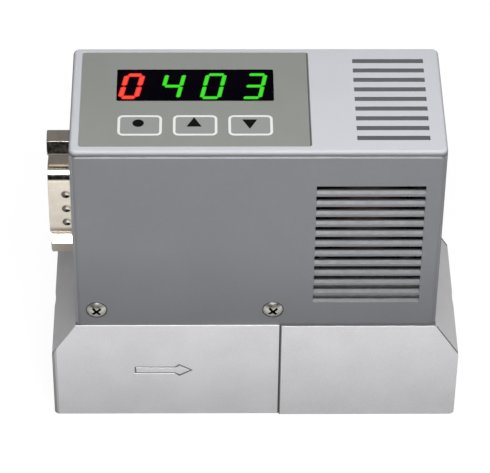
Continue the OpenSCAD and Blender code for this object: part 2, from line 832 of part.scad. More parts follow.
module coil_yoke() {
    leg_w = 12;
    color("slategray") translate([valve_x, 0, 0]) difference() {
        union() {
            translate([0, 0, yoke_z]) slab(yoke_len, core_flange_w, 1, yoke_t);
            translate([0, 0, yoke_top - yoke_t]) slab(yoke_len, leg_w, 1, yoke_t);
            for (s = [-1, 1]) box([s * (yoke_len - yoke_t) / 2 - yoke_t / 2, -leg_w / 2 + 1, yoke_z],
                                  [s * (yoke_len - yoke_t) / 2 + yoke_t / 2, leg_w / 2 - 1, yoke_top]);
        }
        translate([0, 0, yoke_z - past]) cylinder(r = core_r + slide_fit, h = yoke_t + 2 * past);
        translate([0, 0, yoke_top - yoke_t - past])
            cylinder(r = core_r + slide_fit, h = yoke_t + 2 * past);
        for (x = [-1, 1], y = [-1, 1])
            translate([x * valve_screw_off, y * valve_screw_off, yoke_z - past])
                cylinder(r = m25[0] + fit, h = yoke_t + 2 * past);
    }
}

module yoke_nut() {
    color("silver") translate([valve_x, 0, yoke_top]) {
        ring(m4[0] + close_fit, 6, yoke_washer_t);
        translate([0, 0, yoke_washer_t - bite / 4]) nut(7, m4[0] + close_fit, yoke_nut_h);
    }
}

module valve_screws() {
    color("silver") for (x = [-1, 1], y = [-1, 1])
        translate([valve_x + x * valve_screw_off, y * valve_screw_off, yoke_z + yoke_t])
            cap_screw(m25, m25[0] - close_fit, m25_tap - 1 + core_flange_h + yoke_t);
}

// ---- Housing and top panel ----

// D-shaped outline of the connector; its long side lies towards -Y.
// x runs along the connector's upright length.
module d_outline(l, w, r) {
    slope = w * tan(shell_slant) / 2;
    long_half = l / 2 - r;
    short_half = long_half - 2 * slope * (w - 2 * r) / w;
    c = [[-long_half, r - w / 2], [long_half, r - w / 2],
         [short_half, w / 2 - r], [-short_half, w / 2 - r]];
    polygon([
        for (i = [0 : 3])
            let (a = c[i], b = c[(i + 1) % 4], d = (b - a) / norm(b - a),
                 n = [d[1], -d[0]] * (r - tangent_gap))
            each [a + n, b + n]
    ]);
    for (p = c) translate(p) circle(r);
}

// Stands a drawing of the connector upright on the plane x = x0, from there to x0 + h
module on_wall(x0, h) {
    translate([x0, 0, plug_z]) rotate([0, 90, 0]) linear_extrude(h) children();
}

// Section of the slots in the front and in the back, drawn right through the housing
module side_vent_section() {
    face = housing_d / 2;
    low = -side_vent_h / 2;
    polygon([[face + past, -low], [-face - past, -low], [-face - past, low - side_vent_lip - past],
             [side_vent_lip - face, low], [face - side_vent_lip, low],
             [face + past, low - side_vent_lip - past]]);
}

module housing() {
    h = panel_z - base_h;
    color("gray") difference() {
        translate([0, 0, base_h]) chamfered_slab(housing_len, housing_d, housing_r, h, rim_chamfer);
        translate([0, 0, base_h - past]) slab(inner_len, inner_d, 0.5, h + 2 * past);
        for (i = [0 : side_vents - 1])
            translate([side_vent_x - side_vent_len / 2, 0,
                       side_vent_z + (i - (side_vents - 1) / 2) * side_vent_pitch])
                rotate([90, 0, 90]) linear_extrude(side_vent_len) side_vent_section();
        on_wall(wall_x - past, housing_wall + 2 * past)
            d_outline(shell_len + 2 * fit, shell_w + 2 * fit, shell_r + fit);
        for (z = jack_rows) hole_x(wall_x - past, flange_x + past, 0, z, jack_stud_r + fit);
        for (x = cover_screws_x, y = [-1, 1]) translate([x, y * housing_d / 2, cover_screw_z])
            rotate([y * 90, 0, 0]) {
                translate([0, 0, -past]) cylinder(r = m2[1] + 0.2, h = head_sink + past);
                cylinder(r = m2[0] + fit, h = 2 * housing_wall);
            }
    }
}

module cover_screws() {
    color("silver") for (x = cover_screws_x, y = [-1, 1])
        translate([x, y * (housing_d / 2 - head_sink), cover_screw_z])
            rotate([-y * 90, 0, 0]) rotate([0, 0, 40]) pan_screw(m2, m2[0] - close_fit, 6);
}

module top_panel() {
    lip_t = 1;
    boss_r = 2.2;
    color("silver") difference() {
        union() {
            translate([0, 0, panel_z + groove_h])
                soft_slab(housing_len, housing_d, housing_r, panel_t - groove_h, panel_round);
            translate([0, 0, panel_z])
                slab(housing_len - 2 * groove_in, housing_d - 2 * groove_in,
                     housing_r - groove_in, panel_t / 2);
            difference() {
                translate([0, 0, panel_z - lip_h])
                    slab(inner_len - 2 * fit, inner_d - 2 * fit, 0.5, lip_h + bite);
                translate([0, 0, panel_z - lip_h - past])
                    slab(inner_len - 2 * (fit + lip_t), inner_d - 2 * (fit + lip_t), 0.3, lip_h + past);
            }
            for (x = [-1, 1], y = [-1, 1])
                translate([film_x + x * display_screw_dx, y * display_screw_y, module_z])
                    cylinder(r = boss_r, h = panel_z - module_z + bite);
        }
        translate([film_x, film_y, film_z]) slab(film_len + 0.2, film_d + 0.2, 0.6, film_recess + past);
        translate([film_x, window_y, panel_z - past])
            slab(module_len + 2 * fit, module_d + 2 * fit, 0.3, panel_t + past);
        for (x = keys_x) translate([x, key_y, panel_z - past])
            cylinder(r = button_r + 0.4, h = panel_t + past);
        for (i = [0 : top_vents - 1])
            translate([top_vent_x, (i - (top_vents - 1) / 2) * top_vent_pitch, overall_h])
                cube([top_vent_len, top_vent_w, 4 * panel_t], center = true);
        for (x = [-1, 1], y = [-1, 1])
            translate([film_x + x * display_screw_dx, y * display_screw_y, module_z - past])
                cylinder(r = m2[0], h = 4 + past);
    }
}

// ---- Keypad and display ----

module keypad_film() {
    inner_r = 0.6;
    color("darkgray") difference() {
        union() {
            translate([film_x, film_y, film_z]) slab(film_len, film_d, 0.5, film_t);
            for (x = keys_x) translate([x, key_y, film_z]) difference() {
                slab(key_len, key_d, inner_r + key_rim, film_t + key_rim_h);
                translate([0, 0, film_t + key_rim_h / 2])
                    slab(key_len - 2 * key_rim, key_d - 2 * key_rim, inner_r, key_rim_h);
            }
        }
        translate([film_x, window_y, film_z - past])
            slab(window_len + 0.1, window_d + 0.1, 0.4, film_t + 2 * past);
    }
}

module display_window() {
    color([0.08, 0.08, 0.09, 0.8]) translate([film_x, window_y, film_z])
        slab(window_len, window_d, 0.35, film_t);
}

module display_module() {
    color("black") translate([film_x, window_y, module_z]) slab(module_len, module_d, 0.2, module_h);
}

module display_board() {
    color("darkgreen") difference() {
        translate([film_x, 0, display_board_z]) slab(display_board_len, display_board_d, 1, board_t);
        for (x = [-1, 1], y = [-1, 1])
            translate([film_x + x * display_screw_dx, y * display_screw_y, display_board_z - past])
                cylinder(r = m2[0] + fit, h = board_t + 2 * past);
    }
}

module display_screws() {
    color("silver") for (x = [-1, 1], y = [-1, 1])
        translate([film_x + x * display_screw_dx, y * display_screw_y, display_board_z])
            rotate([180, 0, 0]) pan_screw(m2, m2[0] - close_fit, board_t + 3.5);
}

module key_switches() {
    color("dimgray") for (x = keys_x) translate([x, key_y, module_z]) difference() {
        slab(switch_w, switch_w, 0.4, switch_h);
        translate([0, 0, switch_h - pit_depth])
            cylinder(r = button_r + slide_fit, h = pit_depth + past);
    }
}

module key_button(x) {
    z0 = module_z + switch_h - button_sunk;
    color("black") translate([x, key_y, z0]) cylinder(r = button_r, h = button_top - z0);
}

module key_set() { key_button(keys_x[0]); }
module key_up() { key_button(keys_x[1]); }
module key_down() { key_button(keys_x[2]); }

// ---- Boards ----

module ribbon_headers() {
    color("black") {
        box([header_x - header_w / 2, ribbon_y - 1.3, ribbon_z],
            [header_x + header_w / 2, ribbon_y + 1.3, display_board_z]);
        box([header_x - header_w / 2, ribbon_y + ribbon_bend, ribbon_plug_z - 1.3],
            [header_x + header_w / 2, main_board_y, ribbon_plug_z + 1.3]);
    }
}

module ribbon_cable() {
    t = 0.6;
    w = header_w - 2;
    color("lightgray") translate([header_x - w / 2, 0, 0]) {
        box([0, ribbon_y - t / 2, ribbon_plug_z + ribbon_bend], [w, ribbon_y + t / 2, ribbon_z]);
        translate([0, ribbon_y + ribbon_bend, ribbon_plug_z + ribbon_bend]) rotate([90, 0, 90])
            rotate([0, 0, 180]) linear_extrude(w) intersection() {
                difference() {
                    circle(ribbon_bend + t / 2);
                    circle(ribbon_bend - t / 2);
                }
                square(2 * ribbon_bend);
            }
    }
}

module main_board() {
    color("darkgreen") difference() {
        box([main_board_x, main_board_y, main_board_z],
            [main_board_end, main_board_y + board_t, main_board_top]);
        for (x = board_screws_x) translate([x, main_board_y - past, board_screw_z]) rotate([-90, 0, 0])
            cylinder(r = m2[0] + fit, h = board_t + 2 * past);
    }
}

// Bent bracket that carries the main board on the sensor base
module board_bracket() {
    front_y = can_d / 2 + 0.2;
    back_y = main_board_y + board_t;
    color("lightgray") difference() {
        translate([sensor_x - bracket_len / 2, 0, sensor_top]) {
            box([0, front_y, 0], [bracket_len, back_y, bracket_t]);
            box([0, back_y, bracket_t],
                [bracket_len, back_y + bracket_t, board_screw_z + 3 - sensor_top]);
            translate([0, back_y, bracket_t]) rotate([0, 90, 0]) intersection() {
                cylinder(r = bracket_t, h = bracket_len);
                box([-past, 0, 0], [2 * bracket_t, 2 * bracket_t, bracket_len]);
            }
        }
        for (x = [-1, 1]) translate([sensor_x + x * sensor_screw_dx, sensor_screw_y, sensor_top - past])
            cylinder(r = m25[0] + fit, h = bracket_t + 2 * past);
        for (x = board_screws_x) translate([x, back_y - past, board_screw_z]) rotate([-90, 0, 0])
            cylinder(r = m2[0], h = bracket_t + 2 * past);
    }
}

module board_screws() {
    color("silver") for (x = board_screws_x) translate([x, main_board_y, board_screw_z])
        rotate([90, 0, 0]) pan_screw(m2, m2[0] - close_fit, board_t + bracket_t + 0.4);
}

// Chip on the front of the main board
module chip(x, z, w, h, t) {
    box([x - w / 2, main_board_y - t, z - h / 2], [x + w / 2, main_board_y, z + h / 2]);
}

module board_chips() {
    color("black") {
        chip(sensor_x, main_board_z + 5, 8, 8, 1.4);
        chip(lap_x - 4.2, main_board_top - 4, 4, 6, 1.5);
        for (z = [6, 15]) chip(main_board_end - 3, main_board_z + z, 5, 6, 1.5);
    }
}

module board_capacitors() {
    can_r = 2;
    can_len = 5;
    low = main_board_z + 2 * can_r;
    step = (main_board_top - 2 * can_r - low) / 2;
    color("steelblue") for (i = [0 : 2])
        translate([lap_x, main_board_y, low + i * step])
            rotate([90, 0, 0]) cylinder(r = can_r, h = can_len);
}

// ---- Connector ----

module connector_board() {
    color("darkgreen") difference() {
        box([connector_board_x, -8, neck_top + connector_board_gap],
            [connector_board_x + board_t, main_board_y - 0.2, main_board_top - connector_board_gap]);
        for (p = pins)
            hole_x(connector_board_x - past, connector_board_x + board_t + past,
                   p[0], p[1], pin_r + slide_fit);
    }
}

module link_header() {
    color("black") box([connector_board_x + board_t, main_board_y - 4.6, plug_z - 4.5],
                       [connector_board_x + board_t + 5, main_board_y, plug_z + 5.5]);
}

module connector_shell() {
    dimple_r = 1.6;
    dimple_depth = 0.3;
    dimple_x = wall_x - 1.5;
    dimple_rows = [-4.5, -1, 2.7];
    face = -shell_w / 2;
    color("wheat") difference() {
        union() {
            difference() {
                union() {
                    on_wall(tip_x, flange_x + flange_t - tip_x) d_outline(shell_len, shell_w, shell_r);
                    translate([flange_x, 0, plug_z]) rotate([0, 90, 0])
                        slab(flange_len, flange_w, 2, flange_t);
                }
                on_wall(tip_x - past, flange_x + flange_t - tip_x + 2 * past)
                    d_outline(shell_len - 2 * shell_t, shell_w - 2 * shell_t, shell_r - shell_t);
            }
            for (z = dimple_rows) translate([dimple_x, face + shell_t, plug_z + z]) intersection() {
                translate([0, dimple_depth - dimple_r, 0]) sphere(dimple_r);
                translate([-dimple_r, -shell_t / 2, -dimple_r]) cube(2 * dimple_r);
            }
        }
        for (z = dimple_rows)
            translate([dimple_x, face + dimple_depth - dimple_r, plug_z + z]) sphere(dimple_r);
        for (z = jack_rows)
            hole_x(flange_x - past, flange_x + flange_t + past, 0, z, jack_stud_r + 0.1);
    }
}

module connector_insulator() {
    front_x = wall_x - 0.2;
    back_len = 19.2;
    back_w = 10.7;
    color("dimgray") difference() {
        union() {
            on_wall(front_x, flange_x + flange_t - front_x)
                d_outline(shell_len - 2 * (shell_t + slide_fit), shell_w - 2 * (shell_t + slide_fit),
                          shell_r - shell_t - slide_fit);
            translate([flange_x + flange_t, 0, plug_z]) rotate([0, 90, 0])
                slab(back_len, back_w, 1, insulator_back_x - flange_x - flange_t);
        }
        for (p = pins)
            hole_x(front_x - past, insulator_back_x + past, p[0], p[1], pin_r + close_fit);
    }
}

module connector_pins() {
    color("gold") for (p = pins) {
        hole_x(tip_x + 0.6 + pin_r, connector_board_x + board_t + 0.8, p[0], p[1], pin_r);
        translate([tip_x + 0.6 + pin_r, p[0], p[1]]) sphere(pin_r);
    }
}

module jack_screws() {
    thread_r = 1.2;
    nose_slope = 1.4;
    stud_end_x = flange_x + flange_t + 3;
    nose_r = jack_hex / 2 + 0.05;
    color("wheat") for (i = [0, 1]) translate([0, 0, jack_rows[i]]) difference() {
        union() {
            translate([tip_x, 0, 0]) rotate([0, 90, 0]) intersection() {
                rotate([0, 0, hex_turns[i]]) hex_bar(jack_hex, shell_out);
                cylinder(r1 = nose_r, r2 = nose_r + nose_slope * shell_out, h = shell_out);
            }
            hole_x(wall_x - bite, stud_end_x, 0, 0, jack_stud_r);
        }
        hole_x(tip_x - past, wall_x - 0.4, 0, 0, thread_r);
    }
}

module flange_nuts() {
    color("wheat") for (z = jack_rows) translate([flange_x + flange_t, 0, z]) rotate([0, 90, 0])
        rotate([0, 0, 30]) nut(jack_hex, jack_stud_r + close_fit, 2.4);
}

inlet_block();
outlet_block();
joint_seal();
block_bolts();
inlet_filter();
laminar_element();
sensor_base();
sensor_seals();
sensor_tube();
sensor_windings();
sensor_cover();
sensor_screws();
valve_seat();
valve_plunger();
plunger_seal();
plunger_spring();
chamber_seal();
core_tube();
coil_bobbin();
coil_winding();
coil_yoke();
yoke_nut();
valve_screws();
housing();
top_panel();
cover_screws();
keypad_film();
display_window();
display_module();
display_board();
display_screws();
key_switches();
key_set();
key_up();
key_down();
ribbon_headers();
ribbon_cable();
main_board();
board_bracket();
board_screws();
board_chips();
board_capacitors();
connector_board();
link_header();
connector_shell();
connector_insulator();
connector_pins();
jack_screws();
flange_nuts();
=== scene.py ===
"""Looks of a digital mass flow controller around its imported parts.

The parts keep their shapes and get their finishes here. The lit digits, the
printed key marks and the fine threads are modelled here, and so are the
studio and the camera. Sizes are named in millimetres and turned into metres
where Blender takes them. X runs along the gas flow, Y to the back, Z up.
"""

import json
import math

import bmesh
import bpy
from mathutils import Matrix, Vector


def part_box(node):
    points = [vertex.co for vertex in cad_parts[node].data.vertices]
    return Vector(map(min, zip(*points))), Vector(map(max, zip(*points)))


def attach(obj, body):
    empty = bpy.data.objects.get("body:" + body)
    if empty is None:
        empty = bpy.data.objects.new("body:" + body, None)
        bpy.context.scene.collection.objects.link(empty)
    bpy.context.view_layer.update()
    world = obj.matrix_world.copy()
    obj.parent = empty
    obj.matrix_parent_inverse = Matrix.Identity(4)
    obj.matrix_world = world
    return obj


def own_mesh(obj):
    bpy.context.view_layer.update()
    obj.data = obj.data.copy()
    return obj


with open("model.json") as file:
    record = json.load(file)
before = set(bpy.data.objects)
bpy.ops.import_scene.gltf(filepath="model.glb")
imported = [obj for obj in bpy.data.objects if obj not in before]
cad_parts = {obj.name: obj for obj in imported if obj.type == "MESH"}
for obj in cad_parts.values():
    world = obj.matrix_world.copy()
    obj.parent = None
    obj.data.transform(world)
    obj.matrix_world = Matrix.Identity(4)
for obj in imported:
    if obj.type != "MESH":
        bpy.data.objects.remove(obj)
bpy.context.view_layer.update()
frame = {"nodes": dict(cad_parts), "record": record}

MM = 0.001


def millimetres(*values):
    """A point or size given in millimetres, in metres."""
    return Vector(values) * MM


def shade(red, green, blue):
    """A display colour, 0 to 255 a channel, as a linear colour."""
    def line(value):
        value /= 255
        return value / 12.92 if value <= 0.04045 else ((value + 0.055) / 1.055) ** 2.4
    return (line(red), line(green), line(blue), 1.0)


def span(node):
    """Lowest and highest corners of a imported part, in millimetres."""
    low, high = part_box(node)
    return low / MM, high / MM


# ---- Where the finishes change ----

INLET_LOW, INLET_HIGH = span("inlet_block")
OUTLET_LOW, OUTLET_HIGH = span("outlet_block")
HOUSING_LOW, HOUSING_HIGH = span("housing")
PANEL_TOP = span("top_panel")[1].z
FILM_HIGH = span("keypad_film")[1]
SCREWS_LOW, SCREWS_HIGH = span("cover_screws")
CONNECTOR_LOW, CONNECTOR_HIGH = span("connector_shell")

BEYOND = 0.1                        # takes a mask past the face that it ends on
BASE_TOP = HOUSING_LOW.z            # the blocks' upper faces, which carry the housing
TOP_FACE = (BASE_TOP - 0.03, BASE_TOP + 0.05)
FOOT_SHADOW_WIDTH = 0.1                     # painted shadow line beside the housing's foot
BARE_EDGE = 0.05                    # what stays out of the painted shade along the outlet block's long edges
JOINT_LEAD = 0.05                   # how far before the joint the outlet block's painted shadow line starts
JOINT_REACH = 0.25                  # painted shade to each side of the joint between the blocks
JOINT_DEPTH = 0.35
SHOULDER_X = (36.2, 40.9)           # sloped shoulder of the outlet block
SHOULDER_Z = (17.1, 24.9)
SHOULDER_EDGE = 0.6                 # how far in the painted shade along the shoulder's edges reaches
CORNER_DEPTH = 0.45                 # how far the painted shade on the inlet end's corners reaches to front and back
ARROW_X = (-24.5, -12.5)            # box round the engraved flow arrow's floor
ARROW_Y = (-16.2, -16.0)
ARROW_Z = (10.7, 14.3)
INSIDE_SHADE_DEPTH = 0.8                    # how far in the housing's walls keep their outer grey before the painted shade of the inside
VENTS_X = (10.8, 32.6)              # field of the slots on the long sides
VENTS_Z = (31, 65)
FOOT_SHADE_TOP = 46                 # painted shade: the housing darkens from here down to its foot
TOP_VENTS_X = (18.6, 33.0)          # field of the slots in the top panel
TOP_VENTS_Y = (-13.2, 13.2)
TOP_VENTS_Z = (PANEL_TOP - 2, PANEL_TOP - 0.04)
# painted shade on the top panel's sides, darkest at their foot
PANEL_RIM_Z = (HOUSING_HIGH.z + 0.3, PANEL_TOP - 0.01)
# painted shadow line at the top panel's foot, over its joint with the housing
PANEL_JOINT_Z = (HOUSING_HIGH.z + 0.1, HOUSING_HIGH.z + 0.34)
# painted shade on the housing's top chamfer
HOUSING_RIM_Z = (HOUSING_HIGH.z - 0.38, HOUSING_HIGH.z + 0.05)
KEY_RIM = 0.05                      # how far a key's rim stands over its face
KEY_FACE = FILM_HIGH.z - KEY_RIM
FILM_EDGE = 0.28                    # painted shadow strip along the film's right edge
HEAD_RADIUS = (SCREWS_HIGH.z - SCREWS_LOW.z) / 2
HEAD_RING = 0.65                    # how far past a cover screw's head the painted shade ring's mask reaches
RECESS_RADIUS = 1.2
RECESS_DEPTH = 0.245                # below the heads' tops, where the painted shade of the cross recess starts
VALVE_X = (8, 35)                   # box round the valve, inside the housing
VALVE_Y = (-15, 15)
VALVE_Z = (25.1, 67)


# ---- Building finishes ----

def new_finish(name, colour, metallic, roughness, **sockets):
    """Principled material; what is the same all over is set on the shader's own sockets."""
    finish = bpy.data.materials.new(name)
    finish.use_nodes = True
    finish.diffuse_color = colour
    shader = shader_of(finish)
    shader.inputs["Base Color"].default_value = colour
    shader.inputs["Metallic"].default_value = metallic
    shader.inputs["Roughness"].default_value = roughness
    for socket, value in sockets.items():
        shader.inputs[socket.replace("_", " ").title().replace("Ior", "IOR")].default_value = value
    return finish


def shader_of(finish):
    return finish.node_tree.nodes["Principled BSDF"]


def link(finish, output, socket):
    finish.node_tree.links.new(output, socket)


def add(finish, kind, operation=None, **sockets):
    """New node of a material's tree; a socket is given a number or another node's output."""
    node = finish.node_tree.nodes.new("ShaderNode" + kind)
    if operation:
        node.operation = operation
    for name, value in sockets.items():
        key = int(name[1:]) if name[0] == "_" else name.replace("_", " ")
        feed(finish, node.inputs[key], value)
    return node


def feed(finish, socket, value):
    """Gives a socket a plain value or another node's output."""
    if isinstance(value, bpy.types.NodeSocket):
        link(finish, value, socket)
    else:
        socket.default_value = value


def maths(finish, operation, a, b=0.0):
    return add(finish, "Math", operation, _0=a, _1=b).outputs[0]


def place(finish, stretch=(1, 1, 1), centre=(0, 0, 0)):
    """Object coordinates about a centre, squeezed by stretch."""
    coordinates = add(finish, "TexCoord").outputs["Object"]
    mapped = add(finish, "Mapping", Vector=coordinates)
    mapped.inputs["Scale"].default_value = stretch
    mapped.inputs["Location"].default_value = [-c * s for c, s in zip(centre, stretch)]
    return mapped.outputs["Vector"]


def grain(finish, size_mm, detail=3.0, stretch=(1, 1, 1)):
    """Noise with features of a given size, from about 0 to 1."""
    noise = add(finish, "TexNoise", Vector=place(finish, stretch), Scale=1 / (size_mm * MM), Detail=detail)
    return noise.outputs["Fac"]


NOISE_LOW = 0.3      # most of a noise lies between these two
NOISE_HIGH = 0.7


def spread(finish, value, low, high, start=NOISE_LOW, end=NOISE_HIGH):
    """Stretches start..end of a value over low..high, and stops there."""
    node = add(finish, "MapRange", Value=value, From_Min=start, From_Max=end, To_Min=low, To_Max=high)
    return node.outputs["Result"]


def axis_value(finish, axis):
    """One object coordinate, in metres."""
    split = add(finish, "SeparateXYZ", Vector=add(finish, "TexCoord").outputs["Object"])
    return split.outputs[axis]


def fade(finish, axis, low, high, start_mm, end_mm):
    """Runs from low to high between two places on an axis, and stops there."""
    return spread(finish, axis_value(finish, axis), low, high, start_mm * MM, end_mm * MM)


# ---- Masks: 1 where a finish changes, 0 elsewhere ----

def between(finish, value, low_mm, high_mm):
    return maths(finish, "MULTIPLY", maths(finish, "GREATER_THAN", value, low_mm * MM),
                 maths(finish, "LESS_THAN", value, high_mm * MM))


def within(finish, axis, low_mm, high_mm):
    """Between two places on an axis."""
    return between(finish, axis_value(finish, axis), low_mm, high_mm)


def off_middle(finish, low_mm, high_mm):
    """Between two distances from the middle plane, at the front and at the back."""
    return between(finish, maths(finish, "ABSOLUTE", axis_value(finish, "Y")), low_mm, high_mm)


def around(finish, x_mm, z_mm, radius_mm):
    """Within a radius of an axis that runs from front to back."""
    offset = place(finish, (1, 0, 1), (x_mm * MM, 0, z_mm * MM))
    distance = add(finish, "VectorMath", "LENGTH", _0=offset).outputs["Value"]
    return maths(finish, "LESS_THAN", distance, radius_mm * MM)


def all_of(finish, first, *others):
    """Where all the masks are 1."""
    for other in others:
        first = maths(finish, "MULTIPLY", first, other)
    return first


def in_box(finish, x_mm, y_mm, z_mm):
    """Inside a box given by its two ends on each axis."""
    return all_of(finish, within(finish, "X", *x_mm), within(finish, "Y", *y_mm), within(finish, "Z", *z_mm))


# ---- What a finish does to the surface ----

EDGE_SAMPLES = 6
EDGE_LIGHTEN_TURN = (0.80, 0.995)       # cosines of the edge's turn, from fully lightened to not lightened


def base_colour(finish):
    """What now feeds the base colour: a node's output, or the plain colour."""
    socket = shader_of(finish).inputs["Base Color"]
    return socket.links[0].from_socket if socket.is_linked else tuple(socket.default_value)


def recolour(finish, factor, colour, blend="MIX"):
    """Mixes a colour into the base colour."""
    mix = add(finish, "Mix")
    mix.data_type = "RGBA"
    mix.blend_type = blend
    feed(finish, mix.inputs[0], factor)
    feed(finish, mix.inputs[6], base_colour(finish))
    feed(finish, mix.inputs[7], colour)
    link(finish, mix.outputs[2], shader_of(finish).inputs["Base Color"])


def print_over(finish, mask, colour):
    """Another base colour where a mask is 1."""
    recolour(finish, mask, colour)


def tone(finish, value, low, high):
    """Multiplies the base colour by low to high, after a value that runs as a noise does."""
    factor = spread(finish, value, low, high)
    recolour(finish, 1.0, add(finish, "CombineColor", _0=factor, _1=factor, _2=factor).outputs[0], "MULTIPLY")


def gloss(finish, value, low, high):
    """Roughness from low to high, after a value that runs as a noise does."""
    link(finish, spread(finish, value, low, high), shader_of(finish).inputs["Roughness"])


def relief(finish, value, depth_mm):
    """Bump of a given depth, on top of what the normal already has."""
    normal = shader_of(finish).inputs["Normal"]
    node = add(finish, "Bump", Height=value, Distance=depth_mm * MM, Strength=1.0)
    if normal.is_linked:
        link(finish, normal.links[0].from_socket, node.inputs["Normal"])
    link(finish, node.outputs["Normal"], normal)


def soft_edges(finish, radius_mm):
    """Shades sharp edges as if broken by a small radius."""
    node = add(finish, "Bevel", Radius=radius_mm * MM)
    node.samples = EDGE_SAMPLES
    link(finish, node.outputs["Normal"], shader_of(finish).inputs["Normal"])
    return node.outputs["Normal"]


def edges_worn_and_highlit(finish, radius_mm, colour):
    """Soft edges lightened to another colour along their turn: part rubbed wear, part painted highlight."""
    rounded = soft_edges(finish, radius_mm)
    flat = add(finish, "NewGeometry").outputs["Normal"]
    turn = add(finish, "VectorMath", "DOT_PRODUCT", _0=rounded, _1=flat).outputs["Value"]
    print_over(finish, spread(finish, turn, 1.0, 0.0, *EDGE_LIGHTEN_TURN), colour)


# ---- The finishes ----

def anodised_block():
    """Bead-blasted, clear anodised aluminium; painted shade darkens the flow arrow's engraved floor."""
    finish = new_finish("anodised_block", shade(245, 244, 246), 0.7, 0.5)
    # edges lightened: part wear, part painted highlight
    edges_worn_and_highlit(finish, 0.24, shade(252, 252, 253))
    tone(finish, grain(finish, 9, 2), 0.97, 1.03)
    tone(finish, grain(finish, 0.22, 4), 0.94, 1.06)
    # painted shade in the engraved flow arrow
    print_over(finish, in_box(finish, ARROW_X, ARROW_Y, ARROW_Z), shade(140, 140, 142))
    shade_top_faces(finish)
    joint_x = OUTLET_LOW.x
    # painted shade in the groove between the two blocks
    block_joint = all_of(finish, within(finish, "X", joint_x - JOINT_REACH, joint_x + JOINT_REACH),
                         within(finish, "Y", OUTLET_LOW.y - BEYOND, INLET_LOW.y + JOINT_DEPTH))
    print_over(finish, block_joint, shade(134, 134, 135))
    side_y = OUTLET_HIGH.y
    # painted shade along the sloped shoulder's front and back edges
    shoulder_edge = all_of(finish, within(finish, "X", *SHOULDER_X), within(finish, "Z", *SHOULDER_Z),
                           off_middle(finish, side_y - SHOULDER_EDGE, side_y - BARE_EDGE))
    print_over(finish, shoulder_edge, shade(112, 112, 114))
    shade_inlet_corners(finish)
    gloss(finish, grain(finish, 0.6, 3), 0.46, 0.54)
    relief(finish, grain(finish, 0.18, 3), 0.006)
    return finish


def shade_top_faces(finish):
    """Painted highlight on the blocks' upper faces, and a painted shadow line beside the housing's foot, wide
    on the outlet block.
    """
    top = within(finish, "Z", *TOP_FACE)
    # painted highlight on the blocks' upper faces
    print_over(finish, top, shade(252, 252, 252))
    foot_shadow_y = HOUSING_HIGH.y + FOOT_SHADOW_WIDTH
    ledge_y = OUTLET_HIGH.y - BARE_EDGE
    for left, reach in ((HOUSING_LOW.x, foot_shadow_y), (OUTLET_LOW.x - JOINT_LEAD, ledge_y)):
        foot_shadow = all_of(finish, top, within(finish, "X", left, HOUSING_HIGH.x),
                      within(finish, "Y", -reach, reach))
        # painted shadow line beside the housing's foot
        print_over(finish, foot_shadow, shade(130, 130, 132))


def shade_inlet_corners(finish):
    """Painted shade on the inlet block's upright corners, darker in two steps towards the end."""
    sides = off_middle(finish, INLET_HIGH.y - CORNER_DEPTH, INLET_HIGH.y + BEYOND)
    for width, colour in ((0.9, shade(214, 213, 215)), (0.5, shade(172, 171, 173))):
        corner = within(finish, "X", INLET_LOW.x - BEYOND, INLET_LOW.x + width)
        print_over(finish, all_of(finish, corner, sides), colour)


def silver_paint():
    """Smooth silver lacquer on the top panel, with fine metal flake."""
    finish = new_finish("silver_paint", shade(195, 196, 201), 0.15, 0.62, specular_ior_level=0.25)
    soft_edges(finish, 0.1)
    tone(finish, grain(finish, 14, 2), 0.985, 1.015)
    tone(finish, grain(finish, 0.09, 2), 0.95, 1.05)
    # painted shade: the panel's sides darken towards their foot
    tone(finish, fade(finish, "Z", NOISE_LOW, NOISE_HIGH, *PANEL_RIM_Z), 0.32, 1.0)
    # painted shade on the walls of the top panel's slots
    print_over(finish, in_box(finish, TOP_VENTS_X, TOP_VENTS_Y, TOP_VENTS_Z), shade(122, 124, 126))
    # painted shadow line at the panel's foot
    print_over(finish, within(finish, "Z", *PANEL_JOINT_Z), shade(134, 135, 139))
    relief(finish, grain(finish, 0.5, 2), 0.003)
    return finish


def grey_paint():
    """Grey powder coat on the housing, with the skin's fine orange peel."""
    finish = new_finish("grey_paint", shade(134, 135, 139), 0.2, 0.45, coat_weight=0.1, coat_roughness=0.3)
    # edges lightened: part wear, part painted highlight
    edges_worn_and_highlit(finish, 0.1, shade(150, 151, 155))
    shade_housing_inside(finish)
    # painted shade on the housing's top chamfer, keeping its highlight down
    print_over(finish, within(finish, "Z", *HOUSING_RIM_Z), shade(118, 119, 122))
    # painted highlights along the housing's rounded upright edges
    left, right = HOUSING_LOW.x, HOUSING_HIGH.x
    for width, colour in ((0.6, shade(176, 177, 181)), (0.25, shade(208, 209, 213))):
        print_over(finish, within(finish, "X", left - BEYOND, left + width), colour)
    print_over(finish, within(finish, "X", right - 0.5, right + BEYOND), shade(150, 151, 155))
    # painted shade, darker towards the housing's foot
    tone(finish, fade(finish, "Z", NOISE_LOW, NOISE_HIGH, BASE_TOP, FOOT_SHADE_TOP), 0.8, 1.0)
    tone(finish, grain(finish, 12, 2), 0.975, 1.025)
    tone(finish, grain(finish, 0.12, 3), 0.93, 1.07)
    gloss(finish, grain(finish, 1.1, 2), 0.42, 0.5)
    relief(finish, grain(finish, 0.32, 3), 0.006)
    return finish


